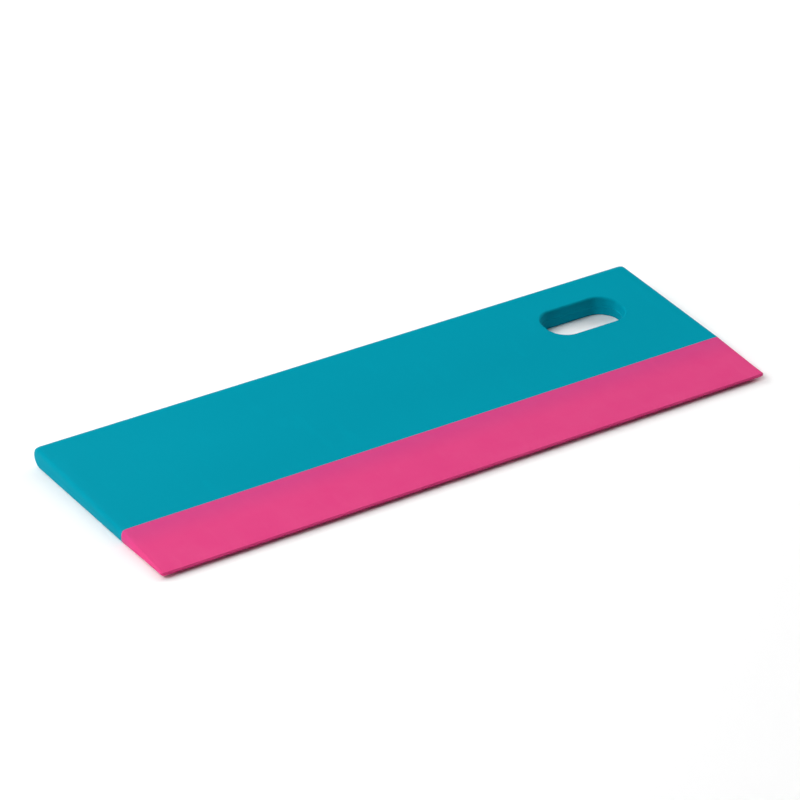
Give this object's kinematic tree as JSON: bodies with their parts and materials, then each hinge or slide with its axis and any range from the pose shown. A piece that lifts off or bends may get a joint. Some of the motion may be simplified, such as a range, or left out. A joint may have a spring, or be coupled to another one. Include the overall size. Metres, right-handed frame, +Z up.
{
  "type": "squeegee applicator",
  "caption": "Hand squeegee for smoothing vinyl: a stiff tapered handle with an oblong hang slot, and a soft wedge blade locked along its front edge.",
  "frame": {"origin": "centre of the bounding box's bottom face, on the surface that the handle's underside lies on", "axes": "+X along the length, towards the hang slot; +Y from the blade's edge to the rounded rear edge; +Z up, away from the surface"},
  "size_m": [0.2, 0.0718, 0.0067],
  "materials": {
    "handle_plastic": "satin moulded, solid teal",
    "blade_elastomer": "soft satin moulded, pink"
  },
  "bodies": {
    "root": {"handle_body": "handle_plastic", "soft_blade": "blade_elastomer"}
  },
  "joints": []
}
